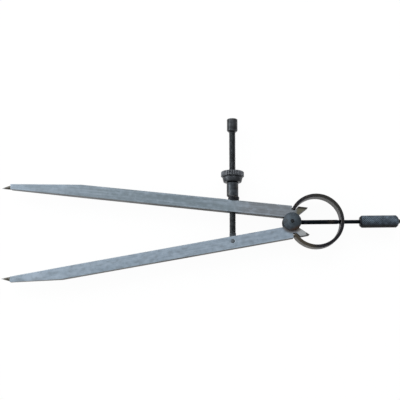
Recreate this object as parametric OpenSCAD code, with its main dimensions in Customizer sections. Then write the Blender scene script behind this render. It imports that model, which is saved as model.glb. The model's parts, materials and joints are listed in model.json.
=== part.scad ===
// Spring divider: two flat steel legs that roll on a fulcrum stud, pulled
// together at their heads by a bow spring and set by a nut on a swinging screw.
// It lies flat: +X runs from the points to the handle, +Z is the broad side of
// the legs, and the origin is the middle of its footprint on the table.

/* [Legs] */
// Distance from the fulcrum axis to the tip of a point, along the leg
leg_length = 200; // [150:1:260]
// Width of a leg at its head
leg_head_w = 8.4; // [7.4:0.1:10]
// Width of a leg where the taper to its point starts
leg_taper_w = 8; // [6:0.1:8.2]
// Thickness of a leg
leg_t = 7; // [6.4:0.1:9]
// Distance from the fulcrum axis to the inner edge of a leg
leg_inset = 2.55; // [2:0.05:3]
// Length of the taper on the upper leg
upper_taper_l = 48; // [20:1:70]
// Length of the taper on the lower leg
lower_taper_l = 34; // [20:1:70]
// Width of a leg at its blunt end
leg_end_w = 3.7; // [3.4:0.1:5.5]
// Thickness of a leg at its blunt end
leg_end_t = 4.4; // [3.8:0.1:6]
// How far the tooth at a leg's head reaches past the fulcrum axis
tooth_reach = 9.9; // [8:0.1:12]
// How far the tip of the tooth lies inside the line of the outer edge
tooth_drop = 0.15; // [0:0.05:1]
// Distance along the leg from the fulcrum axis to the notch for the spring's end
notch_x = 0.6; // [0.2:0.02:1.2]
// Distance from the inner edge of the leg to the spring's end in its notch
notch_y = 7; // [6.6:0.05:7.4]
// Slope of the flank of the tooth beside the notch
notch_flank = 52; // [40:1:54]

/* [Opening] */
// Angle between a leg's inner edge and the middle line, as set
half_opening = 8.15; // [4:0.05:16]
// Angle between the legs when fully open
full_opening = 59; // [40:0.5:60]
// Distance between the two points when closed
closed_gap = 0.5; // [0.2:0.1:3]

/* [Points] */
// Length of the hardened cone that shows
point_l = 6.4; // [4:0.1:9]
// Diameter of the cone at its base
point_d = 3; // [2.6:0.1:3.4]
// Angle between the axis of a point and its leg
point_lean = 12.5; // [6:0.5:14]
// Distance from the inner edge of the leg to the tip of the point
point_inset = 0.15; // [0:0.05:0.5]
// Diameter of the shank pressed into the leg
shank_d = 2.2; // [1.6:0.1:2.4]
// Length of the shank
shank_l = 6; // [4:0.5:9]

/* [Fulcrum] */
// Diameter of the roller that the legs turn on
roller_d = 8; // [7:0.1:8.6]
// Diameter of the domed flanges that keep the legs on the roller
flange_d = 12.4; // [11:0.1:14]
// Thickness of a flange at its rim
flange_rim = 1; // [0.6:0.1:1.6]
// Height of the dome above the rim
dome_h = 1.7; // [0.8:0.1:2.4]
// Diameter of the rivet through roller and flanges
rivet_d = 2.4; // [1.6:0.1:2.6]
// Depth of the rivet's ends below the top of the dome
rivet_sink = 0.25; // [0.1:0.05:0.5]

/* [Bow spring] */
// Outer diameter of the spring
spring_d = 37.2; // [32:0.1:44]
// Thickness of the spring band
spring_t = 2.3; // [1.6:0.1:2.4]
// Width of the spring band
spring_w = 9; // [7:0.1:10]
// How much thicker the rolled ends of the band are than the band
spring_bead = 0.12; // [0.06:0.02:0.3]

/* [Handle] */
// Diameter of the stem between fulcrum and spring
stem_d = 3; // [2.8:0.1:3.2]
// Diameter of the stem from the spring outwards
stem_thin_d = 2.6; // [2.2:0.1:2.7]
// Angle that the handle leans off the middle line
handle_lean = 1.6; // [0:0.1:2]
// Length of stem that shows between the spring and the grip
neck_l = 10.8; // [6:0.1:20]
// Length of the grip
grip_l = 26; // [18:0.1:40]
// Diameter of the grip
grip_d = 8.4; // [6:0.1:12]
// Length of the cone at the front of the grip
grip_cone = 1.2; // [0.8:0.1:3]
// Diameter of the front face of the grip
grip_front_d = 6; // [4.6:0.1:6.4]
// Chamfer at the back of the grip
grip_chamfer = 1.1; // [0.5:0.1:1.3]
// Diameter of the riveted end of the stem
nub_d = 3.4; // [3:0.1:4]
// Length of the riveted end of the stem
nub_l = 1.8; // [1:0.1:2.5]

/* [Adjusting screw] */
// Outside diameter of the thread
screw_d = 4.4; // [3.6:0.1:4.4]
// Distance from the fulcrum axis to the screw's pivot, and to the centre of the nut's seat
screw_radius = 42.3; // [38:0.1:48]
// Depth of the pivot pin below the inner edge of the lower leg
pivot_depth = 3.4; // [3:0.1:3.8]
// Diameter of the eye at the foot of the screw
eye_d = 6; // [5.4:0.1:6.4]
// Thickness of the flat foot of the screw
foot_t = 3; // [2.4:0.1:3.6]
// Diameter of the pivot pin
pin_d = 2.6; // [2:0.1:3]

/* [Stop cap] */
// Diameter of the stop cap
cap_d = 7.4; // [6:0.1:9]
// Length of the stop cap
cap_l = 9.2; // [7:0.1:12]
// Rounding of its top edge
cap_round = 0.6; // [0.3:0.1:1.2]
// Chamfer of its lower edge
cap_chamfer = 0.9; // [0.3:0.1:1.1]
// How far the screw reaches into the cap
cap_grip = 6; // [3:0.1:6.4]
// Distance left between nut and cap when fully open
stop_gap = 1; // [0.5:0.1:5]

/* [Nut] */
// Diameter of the knurled rim
nut_d = 15.8; // [14.6:0.1:20]
// Height of the knurled rim
rim_h = 4.2; // [3:0.1:4.4]
// Chamfer of the edges of the knurled rim
rim_chamfer = 0.5; // [0.2:0.1:0.8]
// Diameter of the collar below the rim
collar_d = 13.8; // [11:0.1:14]
// Height of the collar
collar_h = 3.3; // [2:0.1:3.5]
// How much narrower the collar is at its foot
collar_taper = 1.6; // [0.2:0.1:2]
// Depth of the groove between rim and collar
groove_depth = 0.5; // [0.2:0.1:0.8]
// Height of the groove between rim and collar
groove_h = 0.6; // [0.3:0.1:0.9]

/* [Seat] */
// Diameter of the sleeve under the nut
sleeve_d = 8; // [7.2:0.1:8]
// Length of the sleeve outside
sleeve_l = 9.6; // [6:0.1:14]
// Diameter of the domed washer that the sleeve rocks on
washer_d = 8.5; // [8:0.1:8.8]
// Height of the washer at its rim
washer_rim = 2.8; // [2.2:0.1:3.2]
// Depth of the seat's centre below the washer
seat_depth = 1.4; // [1:0.1:1.8]
// Depth of the flat cut for the washer in the upper leg's edge
spot_depth = 0.2; // [0.1:0.05:0.4]

/* [Fits] */
// Radial clearance of parts that turn or slide on each other
run_gap = 0.06; // [0.03:0.01:0.1]
// Clearance of parts that are pressed or riveted together
set_gap = 0.02; // [0.01:0.005:0.03]
// Clearance between flat faces that slide on each other
face_gap = 0.1; // [0.05:0.01:0.2]
// Clearance of parts that only pass each other
free_gap = 0.3; // [0.2:0.05:0.35]
// Clearance of the spring's ends in their notches
notch_gap = 0.15; // [0.1:0.01:0.3]

/* [Hidden] */
$fn = 96;

// A point given in a leg's own frame, where the leg lies along -X with its outer
// edge towards +Y, turned to the upper leg's place when its inner edge is at angle a.
function turned(p, a) = [p.x * cos(a) + p.y * sin(a), p.y * cos(a) - p.x * sin(a)];
function line_point(p, a, d) = p + d * [cos(a), sin(a)];

// Fulcrum
roller_r = roller_d / 2;
seat_r = roller_r + run_gap;
roller_l = leg_t + 2 * face_gap;
rivet_half = roller_l / 2 + flange_rim + dome_h - rivet_sink;

// Leg ends and points
point_tip = [-leg_length, leg_inset + point_inset];
point_base = line_point(point_tip, point_lean, point_l);
end_in = [
    point_base.x + (point_base.y - leg_inset) * tan(point_lean),
    leg_inset
];
end_out = line_point(end_in, 90 + point_lean, leg_end_w);

// Opening: the legs close until their points almost meet
point_radius = norm(point_tip);
closing_turn = half_opening + asin(point_tip.y / point_radius) - asin(closed_gap / 2 / point_radius);
opening_turn = full_opening / 2 - half_opening;

// Leg heads: the underside of the tooth keeps clear of the stem when fully open
tooth_root_angle = full_opening / 2 + asin((stem_d / 2 + free_gap) / seat_r);
tooth_root = seat_r * [cos(tooth_root_angle), sin(tooth_root_angle)];
tooth_tip = [tooth_reach, leg_inset + leg_head_w - tooth_drop];
tooth_inner = tooth_root + 0.2 * (tooth_root - tooth_tip);

// Bow spring: its round ends lie in the notches of the leg heads. It slides along
// the stem as the legs turn, so that its ends are in line with the notches again
// when fully open.
notch = [notch_x, leg_inset + notch_y];
spring_tip = turned(notch, half_opening);
spring_mid_r = (spring_d - spring_t) / 2;
spring_x = spring_tip.x + sqrt(pow(spring_mid_r, 2) - pow(spring_tip.y, 2));
spring_back = spring_x + spring_d / 2;
spring_open_x = (notch.x + spring_tip.y * sin(full_opening / 2)) / cos(full_opening / 2) - spring_tip.x;
spring_rate = spring_open_x / opening_turn;
spring_end_r = (spring_t + spring_bead) / 2;
notch_r = spring_end_r + notch_gap;
notch_turns = 8;
spring_tips_in_leg = [
    for (i = [0 : notch_turns])
        let (turn = i / notch_turns * (closing_turn + opening_turn) - closing_turn)
            turned(spring_tip + [spring_rate * turn, 0], -half_opening - turn)
];
notch_wall = min([for (p = spring_tips_in_leg) p.x]) - notch_r;
notch_floor = min([for (p = spring_tips_in_leg) p.y]) - notch_r;
// The tooth's flank passes every place of the spring's end at notch_r
flank_foot = max([
    for (p = spring_tips_in_leg) p.x - (p.y - notch_floor) / tan(notch_flank)
]) + notch_r / sin(notch_flank);

// Screw: pivot and seat centre are equally far from the fulcrum axis, so the
// screw keeps its direction as the legs open, and the seat stays on its axis.
pivot_y = leg_inset + pivot_depth;
pivot = [-sqrt(pow(screw_radius, 2) - pow(pivot_y, 2)), pivot_y];
edge_slope = (leg_head_w - leg_taper_w) / (leg_length - point_l - upper_taper_l);
washer_y = leg_inset + leg_head_w - edge_slope * screw_radius - spot_depth;
seat_y = washer_y - seat_depth;
seat = [-sqrt(pow(screw_radius, 2) - pow(seat_y, 2)), seat_y];
pivot_angle = asin(pivot_y / screw_radius);
seat_angle = asin(seat_y / screw_radius);
screw_lean = (seat_angle - pivot_angle) / 2;
mean_angle = half_opening + (seat_angle + pivot_angle) / 2;
seat_span = 2 * screw_radius * sin(mean_angle);
pivot_place = [turned(pivot, half_opening).x, -turned(pivot, half_opening).y];
seat_place = turned(seat, half_opening);

// Angles of the screw from square to each leg, closed and open, with a little over
swing_margin = 1;
function swing(set_angle) = [set_angle - closing_turn, set_angle + opening_turn];
seat_swing = swing(half_opening - screw_lean);
pivot_swing = swing(half_opening + screw_lean);
foot_l = (pivot_depth + screw_d / 2 * sin(pivot_swing[1])) / cos(pivot_swing[1]) + free_gap;

// Seat: washer dome and sleeve foot are spheres about the seat's centre
dome_r = norm([washer_d / 2, seat_depth + washer_rim]);
sleeve_foot_r = dome_r + free_gap / 2;
sleeve_top = sqrt(pow(sleeve_foot_r, 2) - pow(sleeve_d / 2, 2)) + sleeve_l;

// Along the screw, from its pivot
nut_h = collar_h + rim_h;
nut_foot = seat_span + sleeve_top + face_gap;
nut_top_open = 2 * screw_radius * sin(mean_angle + opening_turn) + sleeve_top + face_gap + nut_h;
cap_foot = nut_top_open + stop_gap;
cap_top = cap_foot + cap_l;
screw_end = cap_foot + cap_grip;

// Along the handle, from the fulcrum axis
stem_foot = rivet_d / 2 + free_gap;
stem_step = spring_back - spring_t - spring_rate * closing_turn - free_gap;
grip_x = spring_back + neck_l;
stem_end = grip_x + grip_l + nub_l;

// Outline of a leg in its own frame, before the fulcrum seat and slots are cut
function leg_outline(taper_l) = [
    end_in,
    [-seat_r / 2, leg_inset],
    tooth_inner,
    tooth_tip,
    [0, leg_inset + leg_head_w],
    [point_l + taper_l - leg_length, leg_inset + leg_taper_w],
    end_out
];

// Middle of the footprint, from the points to the end of the stem and from the
// lower leg's end to the top of the cap; the nut's rim is the lowest point
lower_reach = max([for (p = leg_outline(lower_taper_l)) turned(p, half_opening).y]);
cap_corner = [cap_d / 2 - cap_round, cap_top - cap_round];
upper_reach = pivot_place.y + cap_corner.y * cos(screw_lean)
    + cap_corner.x * sin(screw_lean) + cap_round;
handle_reach = stem_end * cos(handle_lean) + nub_d / 4 * sin(handle_lean);
middle = [
    (handle_reach + turned(point_tip, half_opening).x) / 2,
    (upper_reach - lower_reach) / 2,
    -max(nut_d / 2, roller_l / 2 + flange_rim + dome_h)
];

// Joints and mounts in the finished frame
echo(fulcrum = -middle, closing_turn = closing_turn, opening_turn = opening_turn);
echo(pivot = [pivot_place.x, pivot_place.y, 0] - middle, lean = screw_lean);
echo(seat = [seat_place.x, seat_place.y, 0] - middle, spring_rate = spring_rate);
echo(grip = grip_x + grip_cone, points = turned(point_tip, half_opening));

// Places

module on_table() { translate(-middle) children(); }

module at_upper_leg() { on_table() rotate(-half_opening) children(); }

module at_lower_leg() { on_table() rotate(half_opening) mirror([0, 1, 0]) children(); }

// Along the screw: +Z runs up the screw from its pivot
module along_screw() {
    on_table() translate(pivot_place) rotate(-screw_lean) rotate([-90, 0, 0]) children();
}

// Along the handle: +Z runs out along the stem
module along_handle() { on_table() rotate([0, 90, -handle_lean]) children(); }

// Legs

module slab(t) { translate([0, 0, -t / 2]) linear_extrude(t) children(); }

// Notch that leaves room for the end of the bow spring as the leg turns
module spring_notch() {
    polygon([
        [notch_wall, notch_floor],
        [notch_wall, notch_floor + leg_head_w],
        [flank_foot + leg_head_w / tan(notch_flank), notch_floor + leg_head_w],
        [flank_foot, notch_floor]
    ]);
}

// Wedge that a bar of half width w sweeps about the origin, as it swings towards
// the fulcrum from swing[0] to swing[1], from reach above to depth below
module swing_wedge(swing, w, reach, depth) {
    low = swing[0] - swing_margin;
    high = swing[1] + swing_margin;
    polygon([
        [-reach * tan(high) - w / cos(high), reach],
        [-w / cos(high), 0],
        [depth * tan(low) - w / cos(low), -depth],
        [depth * tan(high) + w / cos(high), -depth],
        [w / cos(high), 0],
        [-reach * tan(low) + w / cos(low), reach]
    ]);
}

module leg_blank(taper_l) {
    taper_x = point_l + taper_l - leg_length;
    difference() {
        intersection() {
            slab(leg_t) difference() {
                polygon(leg_outline(taper_l));
                circle(seat_r);
                spring_notch();
            }
            rotate([90, 0, 0]) translate([0, 0, -leg_length / 2]) linear_extrude(leg_length) polygon([
                [tooth_reach + 1, -leg_t],
                [tooth_reach + 1, leg_t],
                [taper_x, leg_t],
                [taper_x, leg_t / 2],
                [end_out.x, leg_end_t / 2],
                [end_out.x - 1, leg_end_t / 2],
                [end_out.x - 1, -leg_end_t / 2],
                [end_out.x, -leg_end_t / 2],
                [taper_x, -leg_t / 2],
                [taper_x, -leg_t]
            ]);
        }
        translate(point_base) rotate([0, 90, point_lean])
            translate([0, 0, -point_l]) cylinder(h = point_l + shank_l + free_gap, d = shank_d + 2 * set_gap);
    }
}

module screw_window() {
    translate(seat) slab(screw_d + 2 * free_gap)
        swing_wedge(seat_swing, screw_d / 2 + free_gap, leg_head_w, leg_head_w);
}

module upper_leg() {
    color("LightSteelBlue") at_upper_leg() difference() {
        leg_blank(upper_taper_l);
        screw_window();
        translate([seat.x - washer_d / 2 - free_gap, washer_y, -leg_t])
            cube([washer_d + 2 * free_gap, leg_head_w, 2 * leg_t]);
    }
}

module lower_leg() {
    color("LightSteelBlue") at_lower_leg() difference() {
        leg_blank(lower_taper_l);
        translate(pivot) slab(foot_t + 2 * face_gap) {
            circle(eye_d / 2 + free_gap);
            swing_wedge(pivot_swing, screw_d / 2 + free_gap, 0, leg_head_w);
        }
        translate(pivot) cylinder(h = 2 * leg_t, d = pin_d + 2 * set_gap, center = true);
    }
}

module hardened_point() {
    translate(point_base) rotate([0, 90, point_lean]) rotate_extrude() polygon([
        [0, -point_l],
        [point_d / 2, 0],
        [shank_d / 2, 0],
        [shank_d / 2, shank_l],
        [0, shank_l]
    ]);
}

module upper_point() { color("DimGray") at_upper_leg() hardened_point(); }

module lower_point() { color("DimGray") at_lower_leg() hardened_point(); }

// Fulcrum

module fulcrum_roller() {
    color("SlateGray") on_table() difference() {
        cylinder(h = roller_l, r = roller_r, center = true);
        cylinder(h = 2 * roller_l, d = rivet_d + 2 * set_gap, center = true);
        rotate([0, 90, -handle_lean]) translate([0, 0, stem_foot - set_gap])
            cylinder(h = roller_d, d = stem_d + 2 * set_gap);
    }
}

// Dome with its flat side down, as a spherical cap on a plain rim
module flange() {
    cap_r = (pow(flange_d / 2, 2) + pow(dome_h, 2)) / (2 * dome_h);
    translate([0, 0, roller_l / 2]) difference() {
        intersection() {
            cylinder(h = flange_rim + dome_h, d = flange_d);
            translate([0, 0, flange_rim + dome_h - cap_r]) sphere(cap_r);
        }
        translate([0, 0, -1]) cylinder(h = flange_rim + dome_h + 2, d = rivet_d + 2 * set_gap);
    }
}

module front_flange() { color("DarkSlateGray") on_table() flange(); }

module back_flange() { color("DarkSlateGray") on_table() mirror([0, 0, 1]) flange(); }

module fulcrum_rivet() {
    color("Black") on_table() cylinder(h = 2 * rivet_half, d = rivet_d, center = true);
}

// Bow spring: a flat band bent to an open ring, with a hole for the stem

module bow_spring() {
    color("DarkSlateGray") on_table() difference() {
        slab(spring_w) {
            difference() {
                translate([spring_x, 0]) circle(spring_d / 2);
                translate([spring_x, 0]) circle(spring_d / 2 - spring_t);
                polygon([
                    [spring_x, 0],
                    2 * spring_tip - [spring_x, 0],
                    2 * [spring_tip.x, -spring_tip.y] - [spring_x, 0]
                ]);
            }
            for (side = [-1, 1])
                translate([spring_tip.x, side * spring_tip.y]) circle(spring_end_r);
        }
        rotate([0, 90, -handle_lean]) translate([0, 0, spring_x])
            cylinder(h = spring_d, d = stem_thin_d + 2 * free_gap);
    }
}

// Handle

module handle_stem() {
    color("DarkSlateGray") along_handle() rotate_extrude() polygon([
        [0, stem_foot],
        [stem_d / 2, stem_foot],
        [stem_d / 2, stem_step],
        [stem_thin_d / 2, stem_step + (stem_d - stem_thin_d) / 2],
        [stem_thin_d / 2, stem_end - nub_l],
        [nub_d / 2, stem_end - nub_l],
        [nub_d / 2, stem_end - nub_l / 2],
        [nub_d / 4, stem_end],
        [0, stem_end]
    ]);
}

module handle_grip() {
    color("DimGray") along_handle() rotate_extrude() polygon([
        [stem_thin_d / 2 + set_gap, grip_x],
        [grip_front_d / 2, grip_x],
        [grip_d / 2, grip_x + grip_cone],
        [grip_d / 2, grip_x + grip_l - grip_chamfer],
        [grip_d / 2 - grip_chamfer, grip_x + grip_l],
        [stem_thin_d / 2 + set_gap, grip_x + grip_l]
    ]);
}

// Adjusting screw

module adjusting_screw() {
    color("DarkSlateGray") along_screw() {
        rotate([90, 0, 0]) slab(foot_t) difference() {
            union() {
                circle(d = eye_d);
                translate([-screw_d / 2, 0]) square([screw_d, foot_l]);
            }
            circle(d = pin_d + 2 * run_gap);
        }
        translate([0, 0, foot_l]) cylinder(h = screw_end - foot_l, d = screw_d);
        // Core inside both, so that foot and rod are one piece at any size
        translate([0, 0, foot_l - foot_t / 4]) cylinder(h = foot_t / 2, d = foot_t / 2);
    }
}

module pivot_pin() {
    color("SlateGray") at_lower_leg() translate(pivot) cylinder(h = leg_t, d = pin_d, center = true);
}

module stop_cap() {
    bore_top = screw_end + set_gap;
    color("DarkSlateGray") along_screw() rotate_extrude() {
        difference() {
            polygon([
                [0, cap_foot],
                [cap_d / 2 - cap_chamfer, cap_foot],
                [cap_d / 2, cap_foot + cap_chamfer],
                [cap_d / 2, cap_corner.y],
                [cap_corner.x, cap_corner.y],
                [cap_corner.x, cap_top],
                [0, cap_top]
            ]);
            translate([-cap_d, cap_foot - 1])
                square([cap_d + screw_d / 2 + set_gap, bore_top - cap_foot + 1]);
        }
        intersection() {
            translate(cap_corner) circle(cap_round);
            translate(cap_corner) square(2 * cap_round);
        }
    }
}

module knurled_nut() {
    rim_foot = collar_h + groove_h / 2;
    groove_d = collar_d - 2 * groove_depth;
    color("DarkSlateGray") along_screw() translate([0, 0, nut_foot]) rotate_extrude() polygon([
        [screw_d / 2 + run_gap, 0],
        [(collar_d - collar_taper) / 2, 0],
        [collar_d / 2, collar_h - groove_h / 2],
        [groove_d / 2, collar_h - groove_h / 2],
        [groove_d / 2, rim_foot],
        [nut_d / 2 - rim_chamfer, rim_foot],
        [nut_d / 2, rim_foot + rim_chamfer],
        [nut_d / 2, nut_h - rim_chamfer],
        [nut_d / 2 - rim_chamfer, nut_h],
        [screw_d / 2 + run_gap, nut_h]
    ]);
}

// Seat of the nut on the upper leg

module thrust_sleeve() {
    color("SlateGray") along_screw() translate([0, 0, seat_span]) difference() {
        cylinder(h = sleeve_top, d = sleeve_d);
        sphere(sleeve_foot_r);
        cylinder(h = 3 * sleeve_top, d = screw_d + 2 * run_gap, center = true);
    }
}

// The slot for the screw is open towards the points
module rocker_washer() {
    color("SlateGray") at_upper_leg() translate(seat) difference() {
        intersection() {
            translate([0, seat_depth, 0]) rotate([-90, 0, 0]) cylinder(h = dome_r, d = washer_d);
            sphere(dome_r);
        }
        slab(screw_d + 2 * free_gap) {
            swing_wedge(seat_swing, screw_d / 2 + free_gap, 2 * dome_r, leg_head_w);
            translate([-washer_d, 0]) square([washer_d, 2 * dome_r]);
        }
    }
}

upper_leg();
lower_leg();
upper_point();
lower_point();
fulcrum_roller();
front_flange();
back_flange();
fulcrum_rivet();
bow_spring();
handle_stem();
handle_grip();
adjusting_screw();
pivot_pin();
stop_cap();
knurled_nut();
thrust_sleeve();
rocker_washer();
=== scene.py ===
import json
import math

import bmesh
import bpy
from mathutils import Matrix, Quaternion, Vector


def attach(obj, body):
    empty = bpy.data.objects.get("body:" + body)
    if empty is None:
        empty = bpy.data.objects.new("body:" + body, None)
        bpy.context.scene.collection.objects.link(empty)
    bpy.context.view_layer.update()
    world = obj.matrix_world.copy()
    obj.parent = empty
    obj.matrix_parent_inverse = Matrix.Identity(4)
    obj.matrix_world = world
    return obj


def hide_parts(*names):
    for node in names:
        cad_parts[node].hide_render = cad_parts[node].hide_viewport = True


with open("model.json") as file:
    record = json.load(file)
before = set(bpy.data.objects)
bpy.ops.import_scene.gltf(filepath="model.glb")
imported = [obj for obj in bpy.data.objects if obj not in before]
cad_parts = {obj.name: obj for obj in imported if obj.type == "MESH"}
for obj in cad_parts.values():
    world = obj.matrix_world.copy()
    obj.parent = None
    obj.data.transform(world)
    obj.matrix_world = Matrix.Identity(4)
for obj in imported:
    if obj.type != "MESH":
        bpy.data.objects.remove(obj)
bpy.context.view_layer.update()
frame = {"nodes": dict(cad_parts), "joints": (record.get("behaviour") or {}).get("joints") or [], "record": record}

# The view of the photograph: from almost straight above, a little from the side of
# the lower leg, with the tool turned slightly anticlockwise in the picture.
joints = {joint["name"]: joint for joint in frame["joints"]}
fulcrum = Vector(joints["upper_leg_swing"]["pos_m"])
view_span = 0.2738
view_distance = 0.57
view_elevation = math.radians(78.8)
view_roll = math.radians(-2.14)
view_target = fulcrum + Vector((-0.06174, 0.01790, 0))
view_side = Vector((0, -math.cos(view_elevation), math.sin(view_elevation)))
scene = bpy.context.scene


def added(name, data):
    """A new object in the scene, at the origin."""
    thing = bpy.data.objects.new(name, data)
    scene.collection.objects.link(thing)
    return thing


def aim(thing, place, direction, roll=0.0):
    """Puts the camera or a lamp in its place and points it in a direction."""
    thing.location = place
    thing.rotation_mode = "QUATERNION"
    thing.rotation_quaternion = direction.to_track_quat("-Z", "Y") @ Quaternion((0, 0, 1), roll)


scene.view_settings.view_transform = "Standard"
camera = added("camera", bpy.data.cameras.new("camera"))
camera.data.angle = 2 * math.atan(view_span / 2 / view_distance)
aim(camera, view_target + view_distance * view_side, -view_side, view_roll)
scene.camera = camera

# The studio: a white table top that keeps a faint shadow, a soft sky that is brighter
# behind and to the left of the tool than in front of it, and two soft windows.
floor_half = 30.0
floor_drop = 0.0001
floor_white = (0.92, 0.92, 0.92)
floor_glow = 0.95
sky_side = (-0.62, 0.40, 0.675)
sky_edge = (0.20, 0.95)
sky_dim = (0.58, 0.58, 0.59)
sky_bright = (1.09, 1.13, 1.16)
windows = [
    {"name": "left_window", "place": (-0.90, 0.15, 0.38), "size": (1.2, 0.6), "power": 5.0},
    {"name": "back_window", "place": (-0.15, 0.85, 0.75), "size": (1.6, 0.7), "power": 7.0},
]


class Tone:
    """A value, colour, vector or mesh in a tree, which adds the nodes that its arithmetic needs."""

    def __init__(self, tree, socket=None):
        self.tree = tree
        self.socket = socket

    def node(self, kind, settings=None, sockets=None, output=0):
        made = self.tree.nodes.new(kind)
        for name, setting in (settings or {}).items():
            setattr(made, name, setting)
        for name, value in (sockets or {}).items():
            if isinstance(value, Tone):
                self.tree.links.new(value.socket, made.inputs[name])
            else:
                made.inputs[name].default_value = value
        return Tone(self.tree, made.outputs[output] if made.outputs else None)

    def math(self, operation, first, second=0.0):
        return self.node("ShaderNodeMath", {"operation": operation}, {0: first, 1: second})

    def vector(self, operation, other):
        settings = {"operation": operation}
        return self.node("ShaderNodeVectorMath", settings, {0: self, 1: other}, output=1)

    def __add__(self, other):
        return self.math("ADD", self, other)

    def __radd__(self, other):
        return self.math("ADD", other, self)

    def __sub__(self, other):
        return self.math("SUBTRACT", self, other)

    def __rsub__(self, other):
        return self.math("SUBTRACT", other, self)

    def __neg__(self):
        return self.math("SUBTRACT", 0.0, self)

    def __mul__(self, other):
        return self.math("MULTIPLY", self, other)

    def __rmul__(self, other):
        return self.math("MULTIPLY", other, self)

    def between(self, low, high):
        ends = {"Value": self, "From Min": low, "From Max": high}
        return self.node("ShaderNodeMapRange", {"interpolation_type": "SMOOTHSTEP"}, ends)

    def mix(self, first, second):
        sides = [side if isinstance(side, Tone) else (*side, 1) for side in (first, second)]
        sockets = {0: self, 6: sides[0], 7: sides[1]}
        return self.node("ShaderNodeMix", {"data_type": "RGBA"}, sockets, output=2)

    def blend(self, first, second):
        return self.node("ShaderNodeMixShader", None, {0: self, 1: first, 2: second})


def emptied(owner):
    """The start of an empty node tree in the world or a material."""
    owner.use_nodes = True
    owner.node_tree.nodes.clear()
    return Tone(owner.node_tree)


scene.world = bpy.data.worlds.new("studio_sky")
sky = emptied(scene.world)
sky_height = sky.node("ShaderNodeTexCoord").vector("DOT_PRODUCT", sky_side)
sky_colour = sky_height.between(*sky_edge).mix(sky_dim, sky_bright)
background = sky.node("ShaderNodeBackground", None, {"Color": sky_colour})
sky.node("ShaderNodeOutputWorld", None, {"Surface": background})

floor_mesh = bpy.data.meshes.new("table_top")
floor_corners = [
    (x * floor_half, y * floor_half, -floor_drop) for x, y in ((-1, -1), (1, -1), (1, 1), (-1, 1))
]
floor_mesh.from_pydata(floor_corners, [], [(0, 1, 2, 3)])
table_top = added("table_top", floor_mesh)
table_white = bpy.data.materials.new("table_white")
top = emptied(table_white)
by_camera, by_gloss, by_glass = (
    top.node("ShaderNodeLightPath", output=f"Is {ray} Ray")
    for ray in ("Camera", "Glossy", "Transmission")
)
paint = top.node("ShaderNodeBsdfDiffuse", None, {"Color": (*floor_white, 1)})
glow = top.node("ShaderNodeEmission", None, {"Color": (1, 1, 1, 1), "Strength": 1.0})
shown = ((by_camera + by_gloss + by_glass) * floor_glow).blend(paint, glow)
top.node("ShaderNodeOutputMaterial", None, {"Surface": shown})
floor_mesh.materials.append(table_white)

for window in windows:
    lamp = bpy.data.lights.new(window["name"], "AREA")
    lamp.shape = "RECTANGLE"
    lamp.size, lamp.size_y = window["size"]
    lamp.energy = window["power"]
    aim(added(window["name"], lamp), window["place"], -Vector(window["place"]))

# The roller and its rivet: a short turned stud that the leg heads roll on, and the
# steel rivet that draws the two domed flanges against its ends. The rivet is peened
# over just below the top of the domes, which leaves a dark dimple.
up = Vector((0, 0, 1))
rivet_fillet = 0.00035
rivet_crown = 0.00012
crown_bend = (0.6, 0.3)
arc_steps = 4
fillet_share = 0.48
ring_steps = 96
small_ring_steps = 48
smooth_angle = math.radians(40)


def spots(node, start, axis):
    """The height along an axis and the distance from it of each corner of a node's solid."""
    offsets = [corner.co - start for corner in frame["nodes"][node].data.vertices]
    heights = [offset.dot(axis) for offset in offsets]
    return [(height, (offset - height * axis).length) for offset, height in zip(offsets, heights)]


def along(node, start, axis):
    """The least and greatest height of a node's solid along an axis, and its greatest radius."""
    heights, radii = zip(*spots(node, start, axis))
    return min(heights), max(heights), max(radii)


def rounded(corners, closed=False):
    """An outline of (radius, height, wear) points from (radius, height, fillet) corners.

    The outline runs with the metal on its left. Wear is 1 on an outer edge and -1 in an inner one.
    """
    points = []
    count = len(corners)
    for i, (radius, height, fillet) in enumerate(corners):
        if fillet == 0 or (not closed and i in (0, count - 1)):
            points.append((radius, height, 0.0))
            continue
        corner = Vector((radius, height))
        before = Vector(corners[i - 1][:2]) - corner
        after = Vector(corners[(i + 1) % count][:2]) - corner
        longest = fillet_share * min(before.length, after.length)
        half = before.angle(after) / 2
        before.normalize()
        after.normalize()
        reach = min(fillet / math.tan(half), longest)
        first = corner + reach * before
        last = corner + reach * after
        depth = math.hypot(reach, reach * math.tan(half))
        centre = corner + (before + after).normalized() * depth
        swing = (first - centre).angle_signed(last - centre)
        side = 1 if before.cross(after) < 0 else -1
        for step in range(arc_steps + 1):
            share = step / arc_steps
            spoke = Matrix.Rotation(-swing * share, 2) @ (first - centre)
            points.append((*(centre + spoke), side * math.sin(math.pi * share)))
    return points


def standing(start, axis):
    """The turn and shift that bring +Z at the origin to an axis through a point."""
    return Matrix.Translation(start) @ axis.to_track_quat("Z", "Y").to_matrix().to_4x4()


def turned(name, outline, start=Vector(), axis=up, closed=False, steps=ring_steps):
    """A piece turned on a lathe: an outline swept round an axis."""
    shape = bmesh.new()
    wear_layer = shape.verts.layers.float.new("wear")
    rings = []
    for radius, height, wear in outline:
        spokes = steps if radius > 0 else 1
        ring = []
        for i in range(spokes):
            angle = 2 * math.pi * i / spokes
            corner = shape.verts.new((radius * math.cos(angle), radius * math.sin(angle), height))
            corner[wear_layer] = wear
            ring.append(corner)
        rings.append(ring)
    pairs = list(zip(rings, rings[1:]))
    if closed:
        pairs.append((rings[-1], rings[0]))
    for low, high in pairs:
        for i in range(steps):
            below = [low[i % len(low)], low[(i + 1) % len(low)]]
            above = [high[(i + 1) % len(high)], high[i % len(high)]]
            face = list(dict.fromkeys(below + above))
            if len(face) > 2:
                shape.faces.new(face)
    shape.transform(standing(start, axis))
    mesh = bpy.data.meshes.new(name)
    shape.to_mesh(mesh)
    shape.free()
    return added(name, mesh)


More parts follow.
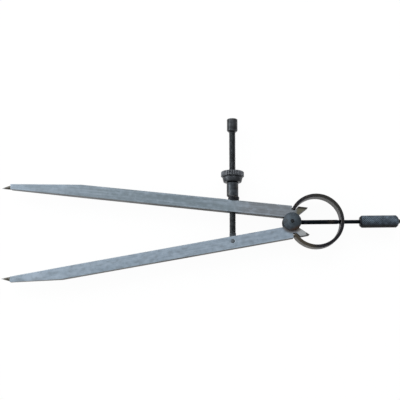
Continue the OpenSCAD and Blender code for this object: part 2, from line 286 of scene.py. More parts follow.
def plain(piece):
    """Turns what a piece's modifiers make into its own mesh."""
    graph = bpy.context.evaluated_depsgraph_get()
    made = bpy.data.meshes.new_from_object(
        piece.evaluated_get(graph), preserve_all_data_layers=True, depsgraph=graph
    )
    piece.modifiers.clear()
    piece.data = made


def dress(piece, material, node, body):
    """Smooths a piece, gives it its finish and sets it on its body in place of its node."""
    piece.data.materials.clear()
    piece.data.materials.append(material)
    piece.data.shade_smooth()
    piece.data.set_sharp_from_angle(angle=smooth_angle)
    weighted = piece.modifiers.new("face_weights", "WEIGHTED_NORMAL")
    weighted.keep_sharp = True
    plain(piece)
    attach(piece, body)
    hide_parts(node)


def blank_finish(name):
    """An empty material, the start of its nodes, and the places on the piece in metres."""
    material = bpy.data.materials.new(name)
    start = emptied(material)
    return material, start, start.node("ShaderNodeTexCoord", output="Object")


def grain(place, scale, detail, turn=0.0, stretch=1.0):
    """Noise over a piece, with its scale in waves to a metre, stretched along a turned +X."""
    if stretch != 1.0:
        place = place.node(
            "ShaderNodeMapping",
            {"vector_type": "TEXTURE"},
            {"Vector": place, "Rotation": (0, 0, turn), "Scale": (stretch, 1, 1)},
        )
    sockets = {"Vector": place, "Scale": scale, "Detail": detail}
    return place.node("ShaderNodeTexNoise", None, sockets)


def metal(start, colour, roughness, relief, depth, bare=1.0):
    """Closes a finish as metal with a fine relief, less than bare under a film of oil and dust."""
    relief_sockets = {"Height": relief, "Distance": depth, "Strength": 1.0}
    bump = start.node("ShaderNodeBump", None, relief_sockets)
    surface = start.node(
        "ShaderNodeBsdfPrincipled",
        None,
        {"Base Color": colour, "Metallic": bare, "Roughness": roughness, "Normal": bump},
    )
    start.node("ShaderNodeOutputMaterial", None, {"Surface": surface})


def oiled_steel(name, dark, light, stain):
    """Plain turned steel that has been oiled and handled, darker in patches."""
    material, start, place = blank_finish(name)
    patches = grain(place, scale=500, detail=5).between(0.35, 0.65)
    drops = grain(place, scale=1400, detail=2).between(0.56, 0.70)
    colour = (0.7 * drops).mix(patches.mix(dark, light), stain)
    fine = grain(place, scale=9000, detail=2)
    metal(start, colour, roughness=0.36 + 0.22 * patches, relief=fine, depth=0.00002)
    return material


stud_steel = oiled_steel(
    "stud_steel",
    dark=(0.10, 0.10, 0.10),
    light=(0.22, 0.23, 0.24),
    stain=(0.09, 0.06, 0.04),
)
roller_finishes = frame["nodes"]["fulcrum_roller"].data.materials
roller_finishes.clear()
roller_finishes.append(stud_steel)

rivet_low, rivet_high, rivet_radius = along("fulcrum_rivet", fulcrum, up)
bend_radius = crown_bend[0] * rivet_radius
bend_height = crown_bend[1] * rivet_crown
rivet = turned(
    "peened_rivet",
    rounded([
        (0, rivet_low, 0),
        (bend_radius, rivet_low + bend_height, rivet_fillet),
        (rivet_radius, rivet_low + rivet_crown, rivet_fillet),
        (rivet_radius, rivet_high - rivet_crown, rivet_fillet),
        (bend_radius, rivet_high - bend_height, rivet_fillet),
        (0, rivet_high, 0),
    ]),
    fulcrum,
    steps=small_ring_steps,
)
rivet_steel = oiled_steel(
    "rivet_steel",
    dark=(0.012, 0.013, 0.015),
    light=(0.035, 0.038, 0.042),
    stain=(0.03, 0.02, 0.015),
)
dress(rivet, rivet_steel, "fulcrum_rivet", "handle")

# The legs: flat bars of tool steel, ground bright along their length on the broad faces,
# with painted shade darkening the narrow sides, less towards the points. Every edge is
# broken with a file, and the lower leg has stayed brighter.
leg_chamfer = 0.0003
leg_tilt = math.radians(8.15)
leg_bright = (0.235, 0.290, 0.345)
leg_pale = (0.36, 0.42, 0.49)
leg_dull = (0.150, 0.175, 0.195)
leg_side_shade_black = (0.022, 0.023, 0.022)
leg_side_shade_grey = (0.056, 0.054, 0.050)
leg_side_shade_pale = (0.170, 0.178, 0.186)
leg_edge = (0.42, 0.46, 0.50)
leg_speck = (0.07, 0.065, 0.06)
leg_flange_shadow = (0.060, 0.042, 0.030)
leg_tooth_edge_dark = (0.018, 0.016, 0.014)
rubbed_span = (0.028, 0.045)
held_span = (0.115, 0.215)
tooth_span = (0.0010, 0.0036)
flange_shadow_span = (0.0076, 0.0096)
side_shade_pale_span = (0.045, 0.165)
legs = [
    {
        "side": "upper",
        "tilt": -leg_tilt,
        "held": (0.138, 0.172, 0.192),
        "rubbed": (0.132, 0.136, 0.140),
        "browned": (0.098, 0.088, 0.052),
        "mottled": 0.22,
        "oiled": 0.10,
        "dark_edge_side": (math.sin(leg_tilt), math.cos(leg_tilt), 0),
        "dark_edge_span": (0.0088, 0.0100),
    },
    {
        "side": "lower",
        "tilt": leg_tilt,
        "held": (0.220, 0.272, 0.324),
        "rubbed": (0.212, 0.263, 0.316),
        "browned": (0.320, 0.325, 0.320),
        "mottled": 0.34,
        "oiled": 0.95,
        "dark_edge_side": (math.cos(leg_tilt), math.sin(leg_tilt), 0),
        "dark_edge_span": (0.0070, 0.0082),
    },
]
weld = 1e-6
flat_angle = math.radians(0.6)
sharp_angle = math.radians(30)


def from_cad(name, node, chamfer, cut=None):
    """A copy of a node's solid with its sharp edges broken, which marks the breaks as worn.

    What lies beyond a cut, given as a point and a direction, is left out.
    """
    shape = bmesh.new()
    shape.from_mesh(frame["nodes"][node].data)
    bmesh.ops.remove_doubles(shape, verts=shape.verts, dist=weld)
    if cut:
        place, direction = cut
        whole = shape.verts[:] + shape.edges[:] + shape.faces[:]
        bmesh.ops.bisect_plane(
            shape, geom=whole, plane_co=place, plane_no=direction, clear_outer=True
        )
        bmesh.ops.holes_fill(shape, edges=[edge for edge in shape.edges if edge.is_boundary])
    bmesh.ops.dissolve_limit(shape, angle_limit=flat_angle, verts=shape.verts, edges=shape.edges)
    mesh = bpy.data.meshes.new(name)
    shape.to_mesh(mesh)
    shape.free()
    # One slot for the faces and one by which the broken edges are known
    mesh.materials.clear()
    mesh.materials.append(None)
    mesh.materials.append(None)
    piece = added(name, mesh)
    edges = piece.modifiers.new("broken_edges", "BEVEL")
    edges.width = chamfer
    edges.segments = 2
    edges.limit_method = "ANGLE"
    edges.angle_limit = sharp_angle
    edges.use_clamp_overlap = False
    edges.material = 1
    plain(piece)
    worn = [1.0] * len(piece.data.vertices)
    # Side is near 1 on upright faces, which the leg steel paints dark as shade.
    side = [0.0] * len(piece.data.polygons)
    for face in piece.data.polygons:
        side[face.index] = 1.0 - abs(face.normal.z)
        if face.material_index == 0:
            for corner in face.vertices:
                worn[corner] = 0.0
        face.material_index = 0
    piece.data.attributes.new("wear", "FLOAT", "POINT").data.foreach_set("value", worn)
    piece.data.attributes.new("side", "FLOAT", "FACE").data.foreach_set("value", side)
    return piece


def attribute(start, name):
    """What a mesh keeps at its corners or on its faces under that name."""
    return start.node("ShaderNodeAttribute", {"attribute_name": name}, output="Fac")


def past_fulcrum(place, axis):
    """How far from the fulcrum a place lies along an axis."""
    return place.vector("DOT_PRODUCT", axis) - fulcrum.dot(axis)


def ground_steel(leg):
    """Steel ground along the leg: streaks, mottling, dull patches, specks, and narrow sides darkened with painted
    shade.

    It is greyer where hands have held it near its head, browned on the tooth past the fulcrum,
    and painted with a brown shadow round the flange, mostly on the lower leg.
    """
    material, start, place = blank_finish(f"{leg['side']}_leg_steel")
    tilt = leg["tilt"]
    reach = past_fulcrum(place, (-math.cos(tilt), -math.sin(tilt), 0))
    streaks = grain(place, scale=900, detail=6, turn=tilt, stretch=40)
    fine = grain(place, scale=5200, detail=3, turn=tilt, stretch=60)
    patches = grain(place, scale=55, detail=5).between(0.30, 0.72)
    haze = grain(place, scale=210, detail=4, turn=tilt, stretch=3).between(0.35, 0.75)
    colour = (0.55 * haze).mix(patches.mix(leg_bright, leg_pale), leg_dull)
    handled = reach.between(*rubbed_span).mix(leg["rubbed"], leg["held"])
    colour = (0.80 - 0.80 * reach.between(*held_span)).mix(colour, handled)
    colour = (0.30 * streaks.between(0.40, 0.70)).mix(colour, leg_pale)
    mottle = grain(place, scale=420, detail=4, turn=tilt, stretch=1.6)
    colour = (leg["mottled"] * mottle.between(0.50, 0.68)).mix(colour, leg_pale)
    hollow = 0.70 - 0.70 * mottle.between(0.32, 0.50)
    colour = (leg["mottled"] * hollow).mix(colour, leg_speck)
    tooth = (-reach).between(*tooth_span)
    colour = (tooth * (0.80 + 0.20 * patches)).mix(colour, leg["browned"])
    # The tooth is darker along its outer edge, where the edge wear is left out.
    tooth_edge_dark = tooth * past_fulcrum(place, leg["dark_edge_side"]).between(*leg["dark_edge_span"])
    colour = (0.9 * tooth_edge_dark).mix(colour, leg_tooth_edge_dark)
    # Painted shadow: a brown shadow of the flange is painted round it, in each leg's share.
    near = 1.0 - place.vector("DISTANCE", fulcrum).between(*flange_shadow_span)
    oil = near * (0.8 + 0.2 * haze)
    colour = (leg["oiled"] * oil).mix(colour, leg_flange_shadow)
    specks = grain(place, scale=1500, detail=2).between(0.66, 0.74)
    colour = (0.6 * specks).mix(colour, leg_speck)
    # Painted shade: the narrow sides are darkened and mottled, and paler towards the points.
    side = attribute(start, "side").between(0.30, 0.62)
    scale = grain(place, scale=700, detail=4).between(0.35, 0.75)
    side_shade_pale = reach.between(*side_shade_pale_span) * (0.55 + 0.35 * patches)
    colour = side.mix(colour, side_shade_pale.mix(scale.mix(leg_side_shade_black, leg_side_shade_grey), leg_side_shade_pale))
    worn = attribute(start, "wear") * grain(place, scale=800, detail=4).between(0.30, 0.55)
    colour = (0.75 * worn * (1.0 - tooth_edge_dark)).mix(colour, leg_edge)
    roughness = 0.33 + 0.16 * haze + 0.18 * side
    relief = streaks + 0.5 * fine + 0.8 * scale * side
    metal(start, colour, roughness, relief, depth=0.000012, bare=0.8)
    return material


for leg in legs:
    node = f"{leg['side']}_leg"
    bar = from_cad(f"{node}_bar", node, leg_chamfer)
    dress(bar, ground_steel(leg), node, f"{leg['side']}_arm")

# The points: short cones of hardened steel whose shanks are pressed into the ends of
# the legs. They are left dark from the quench and ground bright only at the tip.
mounts = {mount["name"]: mount for mount in frame["record"]["mounts"]}
cone_length = 0.0064
cone_belly = 0.55
belly_fillet = 0.01
tip_radius = 0.00007
shoulder_fillet = 0.0002
point_dark = (0.045, 0.042, 0.036)
point_brown = (0.13, 0.125, 0.11)
point_bright = (0.36, 0.37, 0.38)
bright_span = (0.0004, 0.0030)
grinding_waves = 30000.0


def quenched_steel(name, tip):
    """Hardened steel: brown-black, with grinding rings that turn bright towards the tip."""
    material, start, place = blank_finish(name)
    from_tip = place.vector("DISTANCE", tip)
    patches = grain(place, scale=1100, detail=4).between(0.35, 0.70)
    bright = 1.0 - from_tip.between(*bright_span)
    colour = (0.8 * bright).mix(patches.mix(point_dark, point_brown), point_bright)
    relief = start.math("SINE", from_tip * grinding_waves) + 0.8 * patches
    metal(start, colour, roughness=0.40 - 0.10 * bright, relief=relief, depth=0.000006)
    return material


for side in ("upper", "lower"):
    node = f"{side}_point"
    tip = Vector(mounts[f"{side}_point_tip"]["pos_m"])
    corners = [corner.co for corner in frame["nodes"][node].data.vertices]
    inwards = (sum(corners, Vector()) / len(corners) - tip).normalized()
    _, shank_end, base_radius = along(node, tip, inwards)
    shank_radius = max(
        radius
        for height, radius in spots(node, tip, inwards)
        if height > shank_end - cone_length / 2
    )
    cone = turned(
        f"{side}_point_cone",
        rounded([
            (0, 0, 0),
            (tip_radius, tip_radius / 2, tip_radius),
            (cone_belly * base_radius, cone_length / 2, belly_fillet),
            (base_radius, cone_length, shoulder_fillet),
            (shank_radius, cone_length, 0),
            (shank_radius, shank_end, shoulder_fillet),
            (0, shank_end, 0),
        ]),
        tip,
        inwards,
        steps=small_ring_steps,
    )
    point_steel = quenched_steel(f"{side}_point_steel", tip)
    dress(cone, point_steel, node, f"{side}_arm")

# The flanges: two domed discs, turned and blued, that keep the leg heads on the roller.
# Each has a countersunk hole in which the rivet is peened.
dome_height = 0.0017
dome_steps = 18
flange_fillet = 0.00035
hole_fillet = 0.0003
hole_gap = 0.00002
lathe_rings = 0.0024
disc_shade_side = Vector((0.35, -0.94, 0))
disc_shade_span = (0.0032, 0.0062)
disc_shade_brown = (0.068, 0.043, 0.031)
blue_body = (0.075, 0.082, 0.090)
blue_deep = (0.036, 0.039, 0.043)
blue_brown = (0.075, 0.060, 0.042)
blue_worn = (0.24, 0.25, 0.26)


def spherical(first, last, steps, radius, middle):
    """Points (radius, height) on a sphere about the axis, from one distance off it to another."""
    reaches = [first + (last - first) * step / steps for step in range(steps + 1)]
    return [(reach, middle + math.sqrt(radius**2 - reach**2)) for reach in reaches]


def toned_band(place, colour, axis, span, stain):
    """A colour that turns to a stain or a painted shade between two distances from the fulcrum along an axis."""
    return past_fulcrum(place, axis).between(*span).mix(colour, stain)


def blued_steel(
    name,
    body=blue_body,
    deep=blue_deep,
    worn=blue_worn,
    gloss=0.30,
    browned=0.45,
    stains_and_shades=(),
    rings=0,
):
    """Blued steel: blue-black in clouds, brown where it has aged, rubbed bright on its edges.

    Rings, given by their spacing, are left by the lathe round the fulcrum.
    Each stain or painted shade is an axis, the distances along it where it starts and is full, and its colour.
    """
    material, start, place = blank_finish(name)
    clouds = grain(place, scale=330, detail=5).between(0.32, 0.68)
    colour = clouds.mix(deep, body)
    if rings:
        turns = place.vector("DISTANCE", fulcrum) * (2 * math.pi / rings)
        colour = (0.25 + 0.25 * start.math("SINE", turns)).mix(colour, deep)
    age = grain(place, scale=170, detail=4).between(0.50, 0.72)
    colour = (browned * age).mix(colour, blue_brown)
    for stain in stains_and_shades:
        colour = toned_band(place, colour, *stain)
    edge = attribute(start, "wear") * grain(place, scale=900, detail=3).between(0.30, 0.60)
    colour = (0.8 * edge.between(0.15, 0.85)).mix(colour, worn)
    pits = grain(place, scale=2600, detail=3)
    roughness = gloss + 0.16 * age + 0.10 * pits
    metal(start, colour, roughness, relief=pits + 0.3 * clouds, depth=0.00002)
    return material


hole_radius = rivet_radius + hole_gap
for node, outwards in (("front_flange", up), ("back_flange", -up)):
    foot, _, rim_radius = along(node, fulcrum, outwards)
    rim_top = max(
        height
        for height, radius in spots(node, fulcrum, outwards)
        if radius > rim_radius - hole_gap
    )
    dome_radius = (rim_radius**2 + dome_height**2) / (2 * dome_height)
    dome_middle = rim_top + dome_height - dome_radius
    dome = spherical(rim_radius, hole_radius, dome_steps, dome_radius, dome_middle)
    disc = turned(
        f"{node}_disc",
        rounded(
            [
                (hole_radius, foot, 0),
                (rim_radius, foot, flange_fillet),
                (*dome[0], flange_fillet),
                *[(*point, 0) for point in dome[1:-1]],
                (*dome[-1], hole_fillet),
            ],
            closed=True,
        ),
        fulcrum,
        outwards,
        closed=True,
    )
    # Painted shade: the side of each disc towards the lower leg is painted browner and darker.
    disc_blue = blued_steel(
        f"{node}_blue",
        body=(0.080, 0.100, 0.118),
        deep=(0.048, 0.059, 0.069),
        worn=(0.060, 0.056, 0.050),
        gloss=0.58,
        stains_and_shades=[(disc_shade_side, disc_shade_span, disc_shade_brown)],
        rings=lathe_rings,
    )
    dress(disc, disc_blue, node, "handle")

# The bow spring: a flat band of spring steel bent cold to an open ring, its ends rolled
# round to rock in the notches of the leg heads, and drilled for the stem at its back.
spring_chamfer = 0.0004
back_span = (0.020, 0.026)
front_span = (0.000, 0.005)
spring = from_cad("bow_spring_band", "bow_spring", spring_chamfer)
# The spring is painted by side: lighter at its back towards the upper leg, as if lit, darker at its back towards
# the lower leg, as shade, and lighter and browner near the fulcrum on the lower leg's side, as a painted
# reflection of the table.
spring_blue = blued_steel(
    "spring_blue",
    body=(0.034, 0.033, 0.038),
    deep=(0.014, 0.014, 0.017),
    worn=(0.15, 0.15, 0.15),
    gloss=0.40,
    browned=0.35,
    stains_and_shades=[
        (Vector((0.6, 0.8, 0)), back_span, (0.034, 0.033, 0.030)),
        (Vector((0.6, -0.8, 0)), back_span, (0.020, 0.019, 0.022)),
        (Vector((-0.7, -0.7, 0)), front_span, (0.062, 0.053, 0.040)),
    ],
)
dress(spring, spring_blue, "bow_spring", "spring")

# The stem: a drawn rod, screwed into the roller, stepped thinner through the spring and
# riveted over at the far end of the grip, where the heat has left it brown.
handle_axis = Vector(mounts["handle_grip"]["axis"])
stem_low, stem_high, nub_radius = along("handle_stem", fulcrum, handle_axis)
grip_low, grip_high, grip_radius = along("handle_grip", fulcrum, handle_axis)
stem_radius = 0.0015
stem_thin = 0.0013
step_inset = 0.0042
stem_step = along("bow_spring", fulcrum, handle_axis)[1] - step_inset
stem_end_fillet = 0.0002
stem_fillet = 0.0003
nub_fillet = 0.0006
heated_edge = 0.0003
heated_span = (grip_high, grip_high + heated_edge)
heated_brown = (0.042, 0.041, 0.034)
stem = turned(
    "stem_rod",
    rounded([
        (0, stem_low, 0),
        (stem_radius, stem_low, stem_end_fillet),
        (stem_radius, stem_step, stem_fillet),
        (stem_thin, stem_step + stem_radius - stem_thin, stem_fillet),
        (stem_thin, grip_high, 0),
        (nub_radius, grip_high, stem_fillet),
        (nub_radius, (grip_high + stem_high) / 2, nub_fillet),
        (nub_radius / 2, stem_high, nub_fillet),
        (0, stem_high, 0),
    ]),
    fulcrum,
    handle_axis,
    steps=small_ring_steps,
)
stem_blue = blued_steel(
    "stem_blue",
    body=(0.006, 0.008, 0.011),
    deep=(0.003, 0.004, 0.005),
    worn=(0.060, 0.058, 0.050),
    browned=0.2,
    stains_and_shades=[(handle_axis, heated_span, heated_brown)],
)
dress(stem, stem_blue, "handle_stem", "handle")

# The grip: a turned sleeve pressed on the stem, rolled with a diamond knurl between its
# coned front and its chamfered back. Its side towards the lower leg is painted black as
# shade, and its coned front is darker.
grip_front = 0.0030
grip_cone = 0.0012
grip_back_chamfer = 0.0011
grip_fillet = 0.0003
grip_shade_side = up.cross(-handle_axis)
grip_shade_span = (0.0012, 0.0037)
front_dark_edge = 0.0002
knurl_depth = 0.00020
knurl_starts = 18
knurl_steps = 6


def open_tree(name, inputs):
    """An empty geometry tree with those inputs besides a mesh: its start, and what comes in."""
    tree = bpy.data.node_groups.new(name, "GeometryNodeTree")
    tree.interface.new_socket("Geometry", in_out="INPUT", socket_type="NodeSocketGeometry")
    for label, kind in inputs.items():
        tree.interface.new_socket(label, in_out="INPUT", socket_type=f"NodeSocket{kind}")
    tree.interface.new_socket("Geometry", in_out="OUTPUT", socket_type="NodeSocketGeometry")
    sockets = tree.nodes.new("NodeGroupInput").outputs
    return Tone(tree), {socket.name: Tone(tree, socket) for socket in sockets if socket.name}


def unit_grid(start, columns, rows):
    """A flat grid, and how far across and up it each corner lies, from 0 to 1."""
    counts = {"Vertices X": columns + 1.0, "Vertices Y": rows + 1.0}
    grid = start.node("GeometryNodeMeshGrid", None, {"Size X": 1.0, "Size Y": 1.0, **counts})
    place = start.node("GeometryNodeInputPosition")
    across, rise = (
        place.node("ShaderNodeSeparateXYZ", None, {0: place}, output=axis) + 0.5
        for axis in ("X", "Y")
    )
    return grid, across, rise


def wrapped(start, given, grid, across, radius, height, wear, join):
    """Bends a grid round +Z, joins it to the turned ends that come in and closes the tree.

    Corners that lie nearer to each other than join become one.
    """
    angle = across * (2 * math.pi)
    corner = start.node(
        "ShaderNodeCombineXYZ",
        None,
        {
            "X": radius * start.math("COSINE", angle),
            "Y": radius * start.math("SINE", angle),
            "Z": given["Foot"] + height,
        },
    )
    marked = start.node(
        "GeometryNodeStoreNamedAttribute",
        {"data_type": "FLOAT", "domain": "POINT"},
        {"Geometry": grid, "Name": "wear", "Value": wear},
    )
    band = start.node("GeometryNodeSetPosition", None, {"Geometry": marked, "Position": corner})
    whole = start.node("GeometryNodeJoinGeometry", None, {0: band})
    start.tree.links.new(given["Geometry"].socket, whole.socket.node.inputs[0])
    whole = start.node("GeometryNodeMergeByDistance", None, {"Geometry": whole, "Distance": join})
    whole = start.node("GeometryNodeRealizeInstances", None, {"Geometry": whole})
    clothed = {"Geometry": whole, "Material": given["Finish"]}
    whole = start.node("GeometryNodeSetMaterial", None, clothed)
    start.node("NodeGroupOutput", None, {0: whole})
    return start.tree


def knurl_tree():
    """A rolled band about +Z: two crossing families of grooves, or straight ones if Slant is 0.

    The grooves run out at both ends of the band.
    """
    sizes = {"Radius": "Float", "Depth": "Float", "Foot": "Float", "Length": "Float"}
    counts = {"Columns": "Int", "Rows": "Int", "Slant": "Int"}
    start, given = open_tree("rolled_knurl", {**sizes, **counts, "Finish": "Material"})
    columns = given["Columns"]
    rows = given["Rows"]
    grid, across, rise = unit_grid(start, columns, rows)
    cell = start.math("FLOOR", across * columns) + start.math("FLOOR", rise * rows)
    even = 1.0 - start.math("FLOORED_MODULO", cell, 2.0)
    halves = {"Mesh": grid, "Selection": even}
    grid = start.node("GeometryNodeTriangulate", {"quad_method": "FIXED"}, halves)
    grid = start.node("GeometryNodeTriangulate", {"quad_method": "FIXED_ALTERNATE"}, {"Mesh": grid})
    column = start.math("ROUND", across * columns)
    row = start.math("ROUND", rise * rows)
    half_step = knurl_steps / 2
    one_way = start.math("PINGPONG", column + row * given["Slant"], half_step)
    other_way = start.math("PINGPONG", column - row * given["Slant"], half_step)
    flank = start.math("MINIMUM", one_way, other_way)
    crest = start.math("MINIMUM", flank, half_step - 1) * (1 / (half_step - 1))
    run_out = start.math("MINIMUM", row, rows - row)
    crest = crest * start.math("MINIMUM", run_out, 1.0)
    radius = given["Radius"] - given["Depth"] * (1.0 - crest)
    height = rise * given["Length"]
    wear = 2.0 * crest - 1.0
    return wrapped(start, given, grid, across, radius, height, wear, weld)


def grow(piece, tree, values):
    """Runs a geometry tree on a piece with those inputs, and keeps the result as its mesh."""
    modifier = piece.modifiers.new(tree.name, "NODES")
    modifier.node_group = tree
    for item in tree.interface.items_tree:
        if item.in_out == "INPUT" and item.name in values:
            modifier[item.identifier] = values[item.name]
    plain(piece)


def knurled_steel(name, body, deep, worn, gloss, cloud, stains_and_shades=()):
    """Blued steel with a knurl: clouds, black oil in its grooves, rubbed crests, and bands of stain or painted
    shade.
    """
    material, start, place = blank_finish(name)
    clouds = grain(place, scale=360, detail=4).between(0.40, 0.60)
    colour = clouds.mix(tuple(cloud * part for part in body), body)
    height = attribute(start, "wear")
    groove = (-height).between(-0.2, 0.9)
    colour = (0.85 * groove).mix(colour, deep)
    crest = height.between(0.55, 1.0) * grain(place, scale=1300, detail=3).between(0.30, 0.62)
    colour = (0.75 * crest).mix(colour, worn)
    for stain in stains_and_shades:
        colour = toned_band(place, colour, *stain)
    pits = grain(place, scale=5200, detail=2)
    roughness = gloss + 0.12 * pits + 0.12 * groove
    metal(start, colour, roughness, relief=pits, depth=0.000012)
    return material


rolled_knurl = knurl_tree()
knurl_foot = grip_low + grip_cone
knurl_top = grip_high - grip_back_chamfer
knurl_columns = knurl_starts * knurl_steps
knurl_cell = 2 * math.pi * grip_radius / knurl_columns
root_radius = grip_radius - knurl_depth
bore_radius = stem_thin + hole_gap
cone_span = (-knurl_foot - front_dark_edge, -knurl_foot + front_dark_edge)
grip = turned(
    "knurled_grip",
    rounded([
        (root_radius, knurl_top, 0),
        (grip_radius - grip_back_chamfer, grip_high, grip_fillet),
        (bore_radius, grip_high, 0),
        (bore_radius, grip_low, 0),
        (grip_front, grip_low, grip_fillet),
        (root_radius, knurl_foot, 0),
    ]),
    steps=knurl_columns,
)
grip_blue = knurled_steel(
    "grip_blue",
    body=(0.108, 0.143, 0.182),
    deep=(0.014, 0.016, 0.019),
    worn=(0.18, 0.215, 0.25),
    gloss=0.26,
    cloud=0.50,
    stains_and_shades=[
        # painted shade on the side towards the lower leg, then a darker coned front
        (grip_shade_side, grip_shade_span, (0.021, 0.020, 0.019)),
        (-handle_axis, cone_span, (0.012, 0.013, 0.016)),
    ],
)
grow(
    grip,
    rolled_knurl,
    {
        "Radius": grip_radius,
        "Depth": knurl_depth,
        "Foot": knurl_foot,
        "Length": knurl_top - knurl_foot,
        "Columns": knurl_columns,
        "Rows": round((knurl_top - knurl_foot) / knurl_cell),
        "Slant": 1,
        "Finish": grip_blue,
    },
)
grip.data.transform(standing(fulcrum, handle_axis))
dress(grip, grip_blue, "handle_grip", "handle")

# The pivot pin: a plain pin through the lower leg and the eye of the screw, riveted and
# filed flush with both faces of the leg.
pivot = Vector(joints["screw_swivel"]["pos_m"])
pin_low, pin_high, pin_radius = along("pivot_pin", pivot, up)
pin_crown = 0.00008
pin_fillet = 0.0002
pin = turned(
    "flush_pin",
    rounded([
        (0, pin_low, 0),
        (pin_radius, pin_low + pin_crown, pin_fillet),
        (pin_radius, pin_high - pin_crown, pin_fillet),
        (0, pin_high, 0),
    ]),
    pivot,
    steps=small_ring_steps,
)
pin_steel = oiled_steel(
    "pin_steel",
    dark=(0.075, 0.085, 0.095),
    light=(0.15, 0.17, 0.19),
    stain=(0.04, 0.04, 0.04),
)
dress(pin, pin_steel, "pivot_pin", "lower_arm")

# The adjusting screw: a rod cut with a fine right-hand thread from its flat foot to its
# end. The foot is forged flat and drilled for the pivot pin.
screw_axis = Vector(joints["nut_turn"]["axis"])
screw_corners = [corner.co - pivot for corner in frame["nodes"]["adjusting_screw"].data.vertices]
foot_half = 0.0016
screw_foot = min(corner.dot(screw_axis) for corner in screw_corners if corner.z > foot_half)
screw_high = max(corner.dot(screw_axis) for corner in screw_corners)
screw_radius = max(corner.z for corner in screw_corners)
foot_chamfer = 0.0002
thread_pitch = 0.0008
thread_depth = 0.00038
thread_columns = 36
thread_steps = 4
thread_weld = 2e-6


def thread_tree():
    """A right-hand thread about +Z, as a sheared grid whose edges meet one turn further on.

    Crests and roots are each a quarter of the pitch, and the thread fades out at both ends.
    """
    lengths = ("Radius", "Depth", "Pitch", "Foot", "Length")
    sizes = {length: "Float" for length in lengths}
    start, given = open_tree("cut_thread", {**sizes, "Columns": "Int", "Finish": "Material"})
    pitch = given["Pitch"]
    length = given["Length"]
    turns = start.math("CEIL", start.math("DIVIDE", length, pitch))
    rows = (turns + 1.0) * thread_steps
    grid, across, rise = unit_grid(start, given["Columns"], rows)
    row = start.math("ROUND", rise * rows)
    height = (row * (1 / thread_steps) + across - 1.0) * pitch
    height = start.math("MINIMUM", start.math("MAXIMUM", height, 0.0), length)
    step = start.math("FLOORED_MODULO", row, float(thread_steps))
    root = start.math("GREATER_THAN", step, thread_steps / 2 - 0.5)
    from_end = start.math("MINIMUM", height, length - height)
    root = root * start.math("MINIMUM", start.math("DIVIDE", from_end, pitch), 1.0)
    radius = given["Radius"] - given["Depth"] * root
    wear = 1.0 - 2.0 * root
    return wrapped(start, given, grid, across, radius, height, wear, thread_weld)


screw_blue = knurled_steel(
    "screw_blue",
    body=(0.047, 0.055, 0.061),
    deep=(0.011, 0.013, 0.014),
    worn=(0.12, 0.127, 0.133),
    gloss=0.34,
    cloud=0.40,
)
foot_disc = [(0, screw_foot, 0), (screw_radius, screw_foot, 0)]
tip_disc = [(screw_radius, screw_high, 0), (0, screw_high, 0)]
screw_rod = turned("screw_rod", foot_disc, steps=thread_columns)
screw_tip = turned("screw_tip", tip_disc, steps=thread_columns)
ends = bmesh.new()
ends.from_mesh(screw_rod.data)
ends.from_mesh(screw_tip.data)
ends.to_mesh(screw_rod.data)
ends.free()
bpy.data.objects.remove(screw_tip)
grow(
    screw_rod,
    thread_tree(),
    {
        "Radius": screw_radius,
        "Depth": thread_depth,
        "Pitch": thread_pitch,
        "Foot": screw_foot,
        "Length": screw_high - screw_foot,
        "Columns": thread_columns,
        "Finish": screw_blue,
    },
)
screw_rod.data.transform(standing(pivot, screw_axis))
dress(screw_rod, screw_blue, "adjusting_screw", "screw")

foot_cut = (pivot + screw_axis * screw_foot, screw_axis)
eye_foot = from_cad("screw_eye_foot", "adjusting_screw", foot_chamfer, cut=foot_cut)
foot_blue = blued_steel("foot_blue", gloss=0.36)
dress(eye_foot, foot_blue, "adjusting_screw", "screw")

# The seat of the nut: a washer with a domed top, slotted so that the screw can lean, and
# the turned sleeve that stands on it and takes the thrust of the nut.
seat = Vector(joints["sleeve_rock"]["pos_m"])
washer_chamfer = 0.0002
sleeve_low, sleeve_high, sleeve_radius = along("thrust_sleeve", seat, screw_axis)
run_gap = 0.00006
sleeve_bore = screw_radius + run_gap
sleeve_bore_fillet = 0.0002
sleeve_top_fillet = 0.0005
sleeve_foot_fillet = 0.0003
foot_radius = math.hypot(sleeve_low, sleeve_radius)
foot_steps = 6
washer = from_cad("rocker_washer_dome", "rocker_washer", washer_chamfer)
washer_blue = blued_steel(
    "washer_blue",
    body=(0.028, 0.030, 0.034),
    deep=(0.012, 0.013, 0.015),
    gloss=0.36,
)
dress(washer, washer_blue, "rocker_washer", "upper_arm")

foot_arc = spherical(sleeve_bore, sleeve_radius, foot_steps, foot_radius, 0.0)
sleeve = turned(
    "thrust_sleeve_tube",
    rounded(
        [
            *[(*point, 0) for point in foot_arc[:-1]],
            (*foot_arc[-1], sleeve_foot_fillet),
            (sleeve_radius, sleeve_high, sleeve_top_fillet),
            (sleeve_bore, sleeve_high, sleeve_bore_fillet),
        ],
        closed=True,
    ),
    seat,
    screw_axis,
    closed=True,
)
sleeve_blue = blued_steel(
    "sleeve_blue",
    body=(0.070, 0.079, 0.088),
    deep=(0.030, 0.034, 0.038),
    gloss=0.26,
)
dress(sleeve, sleeve_blue, "thrust_sleeve", "sleeve")

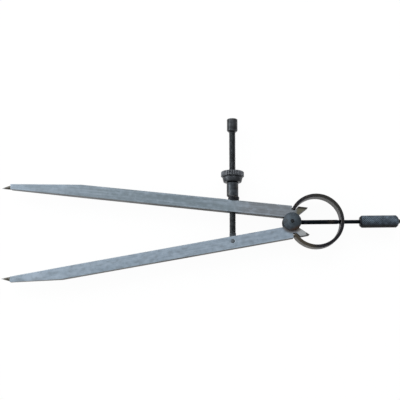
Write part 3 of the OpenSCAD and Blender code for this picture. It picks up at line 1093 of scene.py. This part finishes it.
# The nut: turned with a tapered collar below, which has kept more of its blue-black, and
# a rim above that is rolled with straight serrations for the fingers.
nut_low, nut_high, nut_radius = along("knurled_nut", seat, screw_axis)
nut_bore = screw_radius + run_gap
bore_chamfer = 0.0003
bore_edge = nut_bore + bore_chamfer
nut_fillet = 0.0002
collar_foot = 0.0061
collar_radius = 0.0069
collar_height = 0.0033
collar_foot_fillet = 0.0004
collar_fillet = 0.0003
collar_fade = 0.0036
groove_depth = 0.0005
groove_radius = collar_radius - groove_depth
groove_height = 0.0006
groove_fillet = 0.0001
collar_top = nut_low + collar_height - groove_height / 2
rim_foot = nut_low + collar_height + groove_height / 2
rim_chamfer = 0.0005
rim_depth = 0.00045
rim_root = nut_radius - rim_depth
rim_shoulder = 0.0003
rim_run_out = 0.00012
rim_starts = 40
rim_columns = rim_starts * knurl_steps
rim_rows = 8
nut = turned(
    "knurled_nut_rim",
    rounded([
        (rim_root, nut_high - rim_run_out, 0),
        (rim_root - rim_chamfer, nut_high, nut_fillet),
        (bore_edge, nut_high, nut_fillet),
        (nut_bore, nut_high - bore_chamfer, nut_fillet),
        (nut_bore, nut_low + bore_chamfer, nut_fillet),
        (bore_edge, nut_low, nut_fillet),
        (collar_foot, nut_low, collar_foot_fillet),
        (collar_radius, collar_top, collar_fillet),
        (groove_radius, collar_top, groove_fillet),
        (groove_radius, rim_foot, groove_fillet),
        (rim_root - rim_shoulder, rim_foot, nut_fillet),
        (rim_root, rim_foot + rim_run_out, 0),
    ]),
    steps=rim_columns,
)
rim_far = (fulcrum - seat).dot(screw_axis) - rim_foot
nut_blue = knurled_steel(
    "nut_blue",
    body=(0.094, 0.102, 0.113),
    deep=(0.018, 0.019, 0.022),
    worn=(0.24, 0.25, 0.27),
    gloss=0.32,
    cloud=0.55,
    stains_and_shades=[(-screw_axis, (rim_far, rim_far + collar_fade), (0.036, 0.039, 0.043))],
)
grow(
    nut,
    rolled_knurl,
    {
        "Radius": nut_radius,
        "Depth": rim_depth,
        "Foot": rim_foot + rim_run_out,
        "Length": nut_high - rim_foot - 2 * rim_run_out,
        "Columns": rim_columns,
        "Rows": rim_rows,
        "Slant": 0,
        "Finish": nut_blue,
    },
)
nut.data.transform(standing(seat, screw_axis))
dress(nut, nut_blue, "knurled_nut", "nut")

# The stop cap: a small turned cap screwed on the end of the screw, so that the nut can't
# run off.
cap_low, cap_high, cap_radius = along("stop_cap", pivot, screw_axis)
cap_bore = screw_radius + hole_gap
cap_bore_top = screw_high + hole_gap
cap_chamfer = 0.0009
cap_fillet = 0.0002
cap_side_fillet = 0.0003
cap_top_fillet = 0.0006
cap = turned(
    "stop_cap_turned",
    rounded([
        (0, cap_bore_top, 0),
        (cap_bore, cap_bore_top, 0),
        (cap_bore, cap_low, cap_fillet),
        (cap_radius - cap_chamfer, cap_low, cap_fillet),
        (cap_radius, cap_low + cap_chamfer, cap_side_fillet),
        (cap_radius, cap_high, cap_top_fillet),
        (0, cap_high, 0),
    ]),
    pivot,
    screw_axis,
)
cap_blue = blued_steel(
    "cap_blue",
    body=(0.060, 0.064, 0.068),
    deep=(0.024, 0.026, 0.028),
    gloss=0.14,
    browned=0.2,
)
dress(cap, cap_blue, "stop_cap", "screw")
